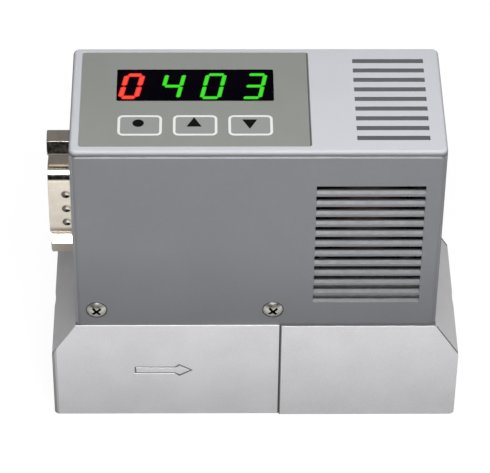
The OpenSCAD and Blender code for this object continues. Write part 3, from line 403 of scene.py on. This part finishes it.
def shade_housing_inside(finish):
    """Painted shade: dark on the housing's inside, and lighter on the lips of the slots."""
    inner_x = HOUSING_HIGH.x - INSIDE_SHADE_DEPTH
    inner_y = HOUSING_HIGH.y - INSIDE_SHADE_DEPTH
    inside = all_of(finish, within(finish, "X", -inner_x, inner_x), within(finish, "Y", -inner_y, inner_y))
    print_over(finish, inside, shade(66, 66, 68))
    lips = all_of(finish, within(finish, "X", *VENTS_X), within(finish, "Z", *VENTS_Z),
                  off_middle(finish, inner_y, HOUSING_HIGH.y - 0.03))
    print_over(finish, lips, shade(98, 99, 102))


def grey_film():
    """Matte polyester keypad film: printed grey, lighter key faces and white key rims."""
    finish = new_finish("grey_film", shade(133, 135, 131), 0.0, 0.5, specular_ior_level=0.35)
    tone(finish, grain(finish, 11, 2), 0.98, 1.02)
    tone(finish, grain(finish, 0.1, 2), 0.96, 1.04)
    rim_foot = KEY_FACE + 0.004
    print_over(finish, within(finish, "Z", KEY_FACE - 0.03, rim_foot), shade(139, 141, 139))
    print_over(finish, within(finish, "Z", rim_foot, FILM_HIGH.z + BEYOND), shade(216, 218, 216))
    # painted shadow along the film's right edge
    print_over(finish, within(finish, "X", FILM_HIGH.x - FILM_EDGE, FILM_HIGH.x + BEYOND), shade(84, 86, 84))
    relief(finish, grain(finish, 0.09, 2), 0.0025)
    return finish


def smoked_film():
    """Black smoked window over the display, with a faint hard-coat ripple."""
    finish = new_finish("smoked_film", shade(4, 2, 8), 0.0, 0.18, specular_ior_level=0.02)
    tone(finish, grain(finish, 3, 2), 0.7, 1.3)
    gloss(finish, grain(finish, 5, 2), 0.14, 0.24)
    relief(finish, grain(finish, 6, 1), 0.004)
    return finish


def plated(name, colour, roughness, streak_mm=0.08, streak=(1, 1, 9), depth_mm=0.0004, edge_mm=0.06):
    """Bright plated or turned metal, with fine streaks and a little haze."""
    finish = new_finish(name, colour, 1.0, roughness)
    soft_edges(finish, edge_mm)
    tone(finish, grain(finish, 1.8, 3), 0.92, 1.04)
    gloss(finish, grain(finish, 0.7, 3), roughness * 0.75, roughness * 1.3)
    relief(finish, grain(finish, streak_mm, 2, streak), depth_mm)
    return finish


def cover_screw_nickel():
    """Nickel on the cover screws, with painted shade round their heads and in their cross recesses."""
    finish = plated("nickel_steel", shade(214, 212, 204), 0.36)
    z = (SCREWS_LOW.z + SCREWS_HIGH.z) / 2
    sunk_y = SCREWS_HIGH.y - RECESS_DEPTH
    for x in (SCREWS_LOW.x + HEAD_RADIUS, SCREWS_HIGH.x - HEAD_RADIUS):
        recess = all_of(finish, around(finish, x, z, RECESS_RADIUS), within(finish, "Y", -sunk_y, sunk_y))
        # painted shade in the cross recess
        print_over(finish, recess, shade(26, 25, 22))
        beside = maths(finish, "SUBTRACT", 1.0, around(finish, x, z, HEAD_RADIUS - 0.03))
        head_shade_ring = all_of(finish, around(finish, x, z, HEAD_RADIUS + HEAD_RING), beside)
        # painted shade round the head's edge
        print_over(finish, head_shade_ring, shade(122, 121, 118))
    return finish


def shade_valve_parts(finish):
    """Painted shade on what stands inside the housing, round the valve."""
    print_over(finish, in_box(finish, VALVE_X, VALVE_Y, VALVE_Z), shade(70, 70, 72))
    return finish


def moulded(name, colour, roughness, grain_mm=0.15, depth_mm=0.006, **sockets):
    """Moulded plastic or rubber with the skin of its mould."""
    finish = new_finish(name, colour, 0.0, roughness, **sockets)
    tone(finish, grain(finish, 4, 2), 0.9, 1.1)
    gloss(finish, grain(finish, 0.8, 2), roughness * 0.85, roughness * 1.15)
    relief(finish, grain(finish, grain_mm, 2), depth_mm)
    return finish


def sintered_bronze():
    """Porous disc of fused bronze beads."""
    finish = new_finish("sintered_bronze", shade(176, 146, 96), 0.9, 0.55)
    bead_mm = 0.22
    beads = add(finish, "TexVoronoi", Vector=place(finish), Scale=1 / (bead_mm * MM)).outputs["Distance"]
    # painted shade in the pores between the beads, lighter on the beads
    tone(finish, beads, 1.15, 0.4)
    relief(finish, maths(finish, "SUBTRACT", 1.0, beads), 0.06)
    return finish


def enamelled_copper():
    """Winding of enamelled wire, its turns lying side by side."""
    finish = new_finish("enamelled_copper", shade(84, 58, 48), 0.2, 0.45,
                        coat_weight=0.2, coat_roughness=0.12)
    wires = add(finish, "TexWave", Vector=place(finish), Scale=1 / (1.2 * MM), Distortion=0.4)
    wires.bands_direction = "Z"
    # painted shade in the grooves between the wire's turns
    tone(finish, wires.outputs["Fac"], 0.55, 1.1)
    relief(finish, wires.outputs["Fac"], 0.03)
    return finish


def circuit_board():
    """Green solder resist over a fine pattern of copper tracks."""
    finish = new_finish("circuit_board", shade(24, 92, 48), 0.0, 0.35, coat_weight=0.4, coat_roughness=0.15)
    tracks = add(finish, "TexBrick", Vector=place(finish), Scale=1 / (2.4 * MM), Mortar_Size=0.03)
    print_over(finish, tracks.outputs["Fac"], shade(44, 128, 66))
    tone(finish, grain(finish, 2.5, 3), 0.85, 1.1)
    relief(finish, tracks.outputs["Fac"], 0.01)
    return finish


def ribbon_pvc():
    """Grey ribbon cable, its cores showing as ribs."""
    finish = new_finish("ribbon_pvc", shade(168, 168, 166), 0.0, 0.5)
    cores = add(finish, "TexWave", Vector=place(finish), Scale=1 / (8 * MM))
    cores.bands_direction = "X"
    # painted shade in the grooves between the cores
    tone(finish, cores.outputs["Fac"], 0.7, 1.05)
    relief(finish, cores.outputs["Fac"], 0.1)
    return finish


FINISHES = {
    "anodised_block": anodised_block(),
    "silver_paint": silver_paint(),
    "grey_paint": grey_paint(),
    "grey_film": grey_film(),
    "smoked_film": smoked_film(),
    "sintered_bronze": sintered_bronze(),
    "enamelled_copper": enamelled_copper(),
    "circuit_board": circuit_board(),
    "ribbon_pvc": ribbon_pvc(),
    "black_rubber": moulded("black_rubber", shade(34, 34, 35), 0.75),
    "nylon": moulded("nylon", shade(46, 45, 44), 0.5),
    "black_plastic": moulded("black_plastic", shade(26, 26, 27), 0.4),
    "stainless_steel": shade_valve_parts(plated("stainless_steel", shade(190, 189, 186), 0.28)),
    "plain_aluminium": plated("plain_aluminium", shade(200, 201, 203), 0.38),
    "magnetic_steel": shade_valve_parts(plated("magnetic_steel", shade(110, 111, 113), 0.5)),
    "zinc_steel": shade_valve_parts(plated("zinc_steel", shade(196, 198, 202), 0.3)),
    "nickel_steel": cover_screw_nickel(),
    "capacitor_sleeve": plated("capacitor_sleeve", shade(176, 182, 192), 0.3),
    "nickel_plate": plated("nickel_plate", shade(230, 221, 207), 0.18, 0.6, (1, 1, 1), 0.0002, 0.16),
    "gold_plate": plated("gold_plate", shade(228, 190, 96), 0.2),
}
KEY_INK = moulded("key_ink", shade(9, 9, 9), 0.7, 0.05, 0.001, specular_ior_level=0.1)


def dress_parts():
    """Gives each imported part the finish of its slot."""
    for part in frame["record"]["subparts"]:
        mesh = frame["nodes"][part["node"]].data
        mesh.materials.clear()
        mesh.materials.append(FINISHES[part["material_slot"]])


def squeeze_spring():
    """Gives the valve's spring a mesh of its own."""
    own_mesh(frame["nodes"]["plunger_spring"])


# ---- Modelling by hand ----

def start():
    """Object mode, with nothing selected."""
    if bpy.context.object and bpy.context.object.mode != "OBJECT":
        bpy.ops.object.mode_set(mode="OBJECT")
    bpy.ops.object.select_all(action="DESELECT")


def pick(pieces):
    """Selects these objects alone and makes the first one active."""
    bpy.ops.object.select_all(action="DESELECT")
    for piece in pieces:
        piece.select_set(True)
    bpy.context.view_layer.objects.active = pieces[0]


def middle(part):
    """Place of a vertex, or the middle of an edge's or face's vertices."""
    if isinstance(part, bmesh.types.BMVert):
        return part.co
    return sum((vertex.co for vertex in part.verts), Vector()) / len(part.verts)


def select(kind, test):
    """In edit mode, selects the verts, edges or faces whose middle passes a test."""
    mesh = bmesh.from_edit_mesh(bpy.context.object.data)
    for part in (*mesh.verts, *mesh.edges, *mesh.faces):
        part.select = False
    for part in getattr(mesh, kind):
        if test(middle(part)):
            part.select_set(True)
    mesh.select_flush_mode()
    bmesh.update_edit_mesh(bpy.context.object.data)


def settle(piece, name, finish, body="base"):
    """Applies a piece's place to its mesh, names and dresses it, and puts it on its body."""
    pick([piece])
    bpy.ops.object.transform_apply(location=True, rotation=True, scale=True)
    piece.name = name
    piece.data.name = name
    piece.data.materials.clear()
    piece.data.materials.append(finish)
    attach(piece, body)


def join(pieces):
    """Makes one object of several."""
    pick(pieces)
    bpy.ops.object.join()
    return bpy.context.object


# ---- Digits ----

DIGITS = "0403"
DIGIT_HEIGHT = 8.0
DIGIT_WIDTH = 4.15
DIGIT_PITCH = 7.93
DIGIT_LEAN = 0.171          # sideways over upwards
DIGIT_INSET = (0.1, 0.5)    # first digit's foot from the window's left front corner
STROKE = 0.84
FIRST_STROKE = 1.1
CORE_INSET = 0.3            # share of the stroke
GAP = 0.2                   # between neighbouring bars
LIT_HEIGHT = 0.02
BARS_OF = {"0": "abcdef", "3": "abgcd", "4": "fgbc"}


def lit_finish(name, core, rim):
    """Glowing plastic that falls from its core colour to its rim colour."""
    finish = new_finish(name, (0, 0, 0, 1), 0.0, 0.5, specular_ior_level=0.1, emission_strength=1.0)
    glow = add(finish, "Attribute")
    glow.attribute_name = "glow"
    mix = add(finish, "Mix")
    mix.data_type = "RGBA"
    link(finish, glow.outputs["Fac"], mix.inputs[0])
    mix.inputs[6].default_value = rim
    mix.inputs[7].default_value = core
    link(finish, mix.outputs[2], shader_of(finish).inputs["Emission Color"])
    return finish


def light_bar(length, stroke):
    """Upright bar with pointed ends about the origin; its inner field is marked as the glowing core."""
    tip = stroke / math.sqrt(3)
    bpy.ops.mesh.primitive_cylinder_add(vertices=6, radius=tip * MM, depth=LIT_HEIGHT * MM)
    bar = bpy.context.object
    bpy.ops.object.mode_set(mode="EDIT")
    for end in (-1, 1):
        select("verts", lambda co: co.y * end > 0)
        bpy.ops.transform.translate(value=(0, end * (length / 2 - tip) * MM, 0))
    select("faces", lambda co: co.z > LIT_HEIGHT / 3 * MM)
    bpy.ops.mesh.inset(thickness=stroke * CORE_INSET * MM, depth=0)
    bpy.ops.object.mode_set(mode="OBJECT")
    glow = bar.data.attributes.new("glow", "FLOAT", "POINT")
    for vertex in bar.data.vertices:
        glow.data[vertex.index].value = float(vertex.select)
    return bar


def digit(figure, stroke):
    """Seven-bar figure, its foot's left end at the origin, upright."""
    left, right = stroke / 2, DIGIT_WIDTH - stroke / 2
    foot, waist, head = stroke / 2, DIGIT_HEIGHT / 2, DIGIT_HEIGHT - stroke / 2
    centre = (left + right) / 2
    flat = right - left - GAP
    upright = waist - foot - GAP
    bars = {
        "a": (centre, head, flat, True),
        "b": (right, (waist + head) / 2, upright, False),
        "c": (right, (foot + waist) / 2, upright, False),
        "d": (centre, foot, flat, True),
        "e": (left, (foot + waist) / 2, upright, False),
        "f": (left, (waist + head) / 2, upright, False),
        "g": (centre, waist, flat, True),
    }
    lit = []
    for name in BARS_OF[figure]:
        x, y, length, lies = bars[name]
        bar = light_bar(length, stroke)
        bar.rotation_euler.z = math.radians(90) if lies else 0
        bar.location = millimetres(x, y, 0)
        bpy.ops.object.transform_apply(location=True, rotation=True, scale=True)
        lit.append(bar)
    return join(lit)


def light_digits():
    """The four figures of the display, on the face of its window."""
    low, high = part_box("display_window")
    red = lit_finish("lit_red", shade(255, 84, 60), shade(244, 30, 46))
    green = lit_finish("lit_green", shade(70, 228, 46), shade(36, 206, 24))
    lean = Matrix.Identity(4)
    lean[0][1] = DIGIT_LEAN
    for place_in_row, figure in enumerate(DIGITS):
        first = place_in_row == 0
        piece = digit(figure, FIRST_STROKE if first else STROKE)
        piece.data.transform(lean)
        piece.location = (low.x + (DIGIT_INSET[0] + place_in_row * DIGIT_PITCH) * MM,
                          low.y + DIGIT_INSET[1] * MM, high.z + LIT_HEIGHT / 2 * MM)
        settle(piece, f"digit_{place_in_row + 1}", red if first else green)


# ---- Key marks ----

MARK_HEIGHT = 0.02
MARK_CORNER = 0.1       # bevel of an arrowhead's corners
MARK_RIM = 0.05         # strip round a mark's upper face
DOT_SIDES = 40
KEY_MARKS = (           # name, sides, width and depth, place on the keys, turn in degrees
    ("set_mark", DOT_SIDES, (2.2, 2.2), (-22.9, -7.35), 0),
    ("up_mark", 3, (2.9, 2.8), (-12.2, -7.45), 0),
    ("down_mark", 3, (2.9, 2.8), (-1.55, -7.2), 180),
)


def key_mark(name, sides, size, centre, turn):
    """Flat printed mark on a key face: a dot, or an arrowhead with slightly rounded corners."""
    start()
    bpy.ops.mesh.primitive_cylinder_add(vertices=sides, radius=1.0, depth=MM)
    mark = bpy.context.object
    mark.dimensions = millimetres(*size, 1)
    mark.rotation_euler.z = math.radians(turn)
    bpy.ops.object.transform_apply(location=False, rotation=True, scale=True)
    bpy.ops.object.mode_set(mode="EDIT")
    if sides < DOT_SIDES:
        select("edges", lambda co: abs(co.z) < MM / 4)
        bpy.ops.mesh.bevel(offset=MARK_CORNER * MM, segments=3)
    bpy.ops.object.mode_set(mode="OBJECT")
    mark.scale.z = MARK_HEIGHT
    bpy.ops.object.transform_apply(location=False, rotation=False, scale=True)
    bpy.ops.object.mode_set(mode="EDIT")
    select("faces", lambda co: co.z > MARK_HEIGHT / 3 * MM)
    bpy.ops.mesh.inset(thickness=MARK_RIM * MM, depth=0)
    bpy.ops.object.mode_set(mode="OBJECT")
    mark.location = centre
    settle(mark, name, KEY_INK)


def mark_keys():
    """A dot and two arrowheads on the three keys' faces."""
    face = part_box("keypad_film")[1].z - KEY_RIM * MM
    for name, sides, size, (x, y), turn in KEY_MARKS:
        centre = (x * MM, y * MM, face + MARK_HEIGHT / 2 * MM)
        key_mark(name, sides, size, centre, turn)


# ---- Threads ----

PORT_THREAD = {"radius": 4.4, "depth": 0.22, "length": 8.5, "pitch": 0.907, "steps": 64}     # G1/8
MOUNT_THREAD = {"radius": 1.65, "depth": 0.16, "length": 7.2, "pitch": 0.7, "steps": 28}     # M4
JACK_THREAD = {"radius": 1.2, "depth": 0.1, "length": 4.4, "pitch": 0.635, "steps": 24}      # 4-40
PORT_HEIGHT = 12.5
PORT_LEAD_IN = 0.7
MOUNT_X = 30
MOUNT_Y = 10
MOUNT_LEAD_IN = 0.32
JACK_SPACING = 24.99
JACK_LEAD_IN = 0.3
ROOT_SINK = 0.03            # how deep a ridge's root sits in the wall
TOUCHING = 1e-7             # metres within which a sweep's vertices are one
RIDGE_SHARE = 0.8           # a ridge's width over its pitch


def thread(name, slot, mouth, inward, radius, depth, length, pitch, steps):
    """Ridge of an internal thread: a V drawn along a helix from a hole's mouth inwards."""
    start()
    bpy.ops.mesh.primitive_circle_add(vertices=3, radius=1.0, fill_type="NOTHING")
    ridge = bpy.context.object
    ridge.rotation_euler = (math.radians(90), math.radians(-90), 0)
    bpy.ops.object.transform_apply(location=False, rotation=True, scale=False)
    size = ridge.dimensions.copy()
    ridge.scale = ((depth + ROOT_SINK) * MM / size.x, 1, pitch * RIDGE_SHARE * MM / size.z)
    bpy.ops.object.transform_apply(location=False, rotation=False, scale=True)
    outer = max(vertex.co.x for vertex in ridge.data.vertices)
    bpy.ops.object.mode_set(mode="EDIT")
    bpy.ops.mesh.select_all(action="SELECT")
    bpy.ops.transform.translate(value=((radius + ROOT_SINK) * MM - outer, 0, 0))
    bpy.ops.object.mode_set(mode="OBJECT")
    screw = ridge.modifiers.new("helix", "SCREW")
    screw.axis = "Z"
    screw.screw_offset = pitch * MM
    screw.iterations = int(length / pitch)
    screw.steps = screw.render_steps = steps
    bpy.ops.object.modifier_apply(modifier=screw.name)
    close_ends()
    ridge.location = mouth
    ridge.rotation_euler = Vector(inward).to_track_quat("Z", "Y").to_euler()
    settle(ridge, name, FINISHES[slot])


def close_ends():
    """Merges a swept ridge's turns, caps its two ends and points its faces outwards."""
    bpy.ops.object.mode_set(mode="EDIT")
    bpy.ops.mesh.select_all(action="SELECT")
    bpy.ops.mesh.remove_doubles(threshold=TOUCHING)
    bpy.ops.mesh.select_all(action="DESELECT")
    bpy.ops.mesh.select_non_manifold()
    bpy.ops.mesh.fill_holes(sides=0)
    bpy.ops.mesh.select_all(action="SELECT")
    bpy.ops.mesh.normals_make_consistent(inside=False)
    bpy.ops.object.mode_set(mode="OBJECT")


def cut_threads():
    """Threads of the two gas ports, the mounting holes and the jack screws."""
    for name, block, side in (("inlet_thread", "inlet_block", 0), ("outlet_thread", "outlet_block", 1)):
        inward = Vector((1 - 2 * side, 0, 0))
        mouth = Vector((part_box(block)[side].x, 0, PORT_HEIGHT * MM)) + inward * PORT_LEAD_IN * MM
        thread(name, "anodised_block", mouth, inward, **PORT_THREAD)
    for end, x in (("inlet", -MOUNT_X), ("outlet", MOUNT_X)):
        for side, y in (("front", -MOUNT_Y), ("back", MOUNT_Y)):
            thread(f"{end}_{side}_mount_thread", "anodised_block",
                   millimetres(x, y, MOUNT_LEAD_IN), (0, 0, 1), **MOUNT_THREAD)
    connector_height = (CONNECTOR_LOW.z + CONNECTOR_HIGH.z) / 2
    for name, side in (("lower_jack_thread", -1), ("upper_jack_thread", 1)):
        height = connector_height + side * JACK_SPACING / 2
        thread(name, "nickel_plate", millimetres(CONNECTOR_LOW.x + JACK_LEAD_IN, 0, height), (1, 0, 0),
               **JACK_THREAD)


# ---- Studio ----

CAMERA_PLACE = (-10.6, -411.9, 403.3)
CAMERA_PITCH = math.radians(41.85)      # down
CAMERA_YAW = math.radians(1.19)         # to the right
CAMERA_ROLL = math.radians(0.71)
CAMERA_LENS = 201.16
CAMERA_SENSOR = 36.0

TOP_LAMP = {"place": (110, -40, 405), "aim": (0, 0, 40), "width": 250, "power": 0.5}
FRONT_LAMP = {"place": (0, -205, 305), "aim": (0, 0, 45), "width": 140, "power": 0.95}

FLOOR_WIDTH = 600
FLOOR_DROP = 0.02           # below the object, so that no faces coincide
FLOOR_PALE = 0.85           # levels of the mat, in front of the object and elsewhere
FLOOR_DARK = 0.32
FLOOR_TURN_Y = (-75, -22)   # where it goes from pale to dark
FLOOR_FAR_SHARE = 0.04      # what is left of those levels far in front and far to the left
FLOOR_FAR_Y = (-200, -130)
FLOOR_LEFT_SHARE = 0.6
FLOOR_LEFT_X = (-120, -60)
FLOOR_MIRRORED = 1.35       # a mirrored mat's brightness over its level
FLOOR_WHITE = 0.93
FLOOR_SHADOW = 0.1          # how much the white paper takes shadows

SURROUND_LEFT = 0.07        # levels at the two sides
SURROUND_RIGHT = 0.36
SURROUND_FRONT = 0.02       # what is left of them low in front
FRONT_Y = (-0.55, 0.15)     # from wholly in front to not at all, as parts of a direction
LOW_Z = (0.35, 0.62)        # from wholly low to not at all


def aim_camera():
    """Long lens, a little left of the object and well above it."""
    forward = Vector((math.sin(CAMERA_YAW) * math.cos(CAMERA_PITCH),
                      math.cos(CAMERA_YAW) * math.cos(CAMERA_PITCH), -math.sin(CAMERA_PITCH)))
    level = Vector((math.cos(CAMERA_YAW), -math.sin(CAMERA_YAW), 0))
    above = level.cross(forward)
    right = math.cos(CAMERA_ROLL) * level + math.sin(CAMERA_ROLL) * above
    up = right.cross(forward)
    bpy.ops.object.camera_add(location=millimetres(*CAMERA_PLACE))
    camera = bpy.context.object
    camera.name = "camera"
    camera.rotation_euler = Matrix((right, up, -forward)).transposed().to_euler()
    camera.data.lens = CAMERA_LENS
    camera.data.sensor_width = CAMERA_SENSOR
    camera.data.sensor_fit = "HORIZONTAL"
    bpy.context.scene.camera = camera


def softbox(name, place, aim, width, power):
    """Square area lamp aimed at a point."""
    bpy.ops.object.light_add(type="AREA", location=millimetres(*place))
    lamp = bpy.context.object
    lamp.name = name
    lamp.data.shape = "SQUARE"
    lamp.data.size = width * MM
    lamp.data.energy = power
    facing = millimetres(*aim) - millimetres(*place)
    lamp.rotation_euler = facing.to_track_quat("-Z", "Y").to_euler()


def lay_floor():
    """Paper that the camera sees as white; for the object it is a mat, pale in front and dark elsewhere."""
    start()
    bpy.ops.mesh.primitive_grid_add(x_subdivisions=8, y_subdivisions=8, size=FLOOR_WIDTH * MM,
                                    location=millimetres(0, 0, -FLOOR_DROP))
    floor = bpy.context.object
    floor.name = "floor"
    floor.data.materials.append(floor_paper())


def floor_paper():
    """White to the camera, with the object's shadow; to the object and to mirrored rays, the mat."""
    finish = new_finish("floor_paper", shade(238, 238, 238), 0.0, 0.9)
    finish.node_tree.nodes.remove(shader_of(finish))
    in_front = fade(finish, "Y", FLOOR_PALE, FLOOR_DARK, *FLOOR_TURN_Y)
    near = fade(finish, "Y", FLOOR_FAR_SHARE, 1.0, *FLOOR_FAR_Y)
    at_left = fade(finish, "X", FLOOR_LEFT_SHARE, 1.0, *FLOOR_LEFT_X)
    level = all_of(finish, in_front, near, at_left)
    pale = add(finish, "CombineColor", _0=level, _1=level, _2=level).outputs[0]
    mat = add(finish, "BsdfDiffuse", Color=pale)
    mirrored = add(finish, "Emission", Strength=maths(finish, "MULTIPLY", level, FLOOR_MIRRORED))
    shadowed = add(finish, "BsdfDiffuse", Color=(FLOOR_SHADOW, FLOOR_SHADOW, FLOOR_SHADOW, 1))
    white = add(finish, "Emission", Strength=FLOOR_WHITE)
    paper = add(finish, "AddShader", _0=shadowed.outputs[0], _1=white.outputs[0])
    rays = add(finish, "LightPath").outputs
    lit = add(finish, "MixShader", _0=rays["Is Glossy Ray"], _1=mat.outputs[0], _2=mirrored.outputs[0])
    mix = add(finish, "MixShader", _0=rays["Is Camera Ray"], _1=lit.outputs[0], _2=paper.outputs[0])
    link(finish, mix.outputs[0], finish.node_tree.nodes["Material Output"].inputs["Surface"])
    return finish


def light_surroundings():
    """Room round the object: pale above and behind, dim at the left and dark towards the front horizon.

    The camera sees it as white.
    """
    world = bpy.data.worlds.new("studio")
    bpy.context.scene.world = world
    world.use_nodes = True
    room = world.node_tree.nodes["Background"]
    room.inputs["Color"].default_value = (1, 1, 1, 1)
    direction = add(world, "SeparateXYZ", Vector=add(world, "TexCoord").outputs["Generated"])
    front = spread(world, direction.outputs["Y"], 1.0, 0.0, *FRONT_Y)
    low = spread(world, direction.outputs["Z"], 1.0, 0.0, *LOW_Z)
    dimming = spread(world, maths(world, "MULTIPLY", front, low), 1.0, SURROUND_FRONT, 0.0, 1.0)
    side = spread(world, direction.outputs["X"], SURROUND_LEFT, SURROUND_RIGHT, -1.0, 1.0)
    level = maths(world, "MULTIPLY", side, dimming)
    seen = add(world, "LightPath").outputs["Is Camera Ray"]
    unseen = maths(world, "SUBTRACT", 1.0, seen)
    link(world, maths(world, "ADD", maths(world, "MULTIPLY", level, unseen), seen), room.inputs["Strength"])


# ---- The whole ----

start()
dress_parts()
squeeze_spring()
light_digits()
mark_keys()
cut_threads()
start()
aim_camera()
light_surroundings()
softbox("top_light", **TOP_LAMP)
softbox("front_light", **FRONT_LAMP)
lay_floor()

scene = bpy.context.scene
scene.view_settings.view_transform = "Standard"
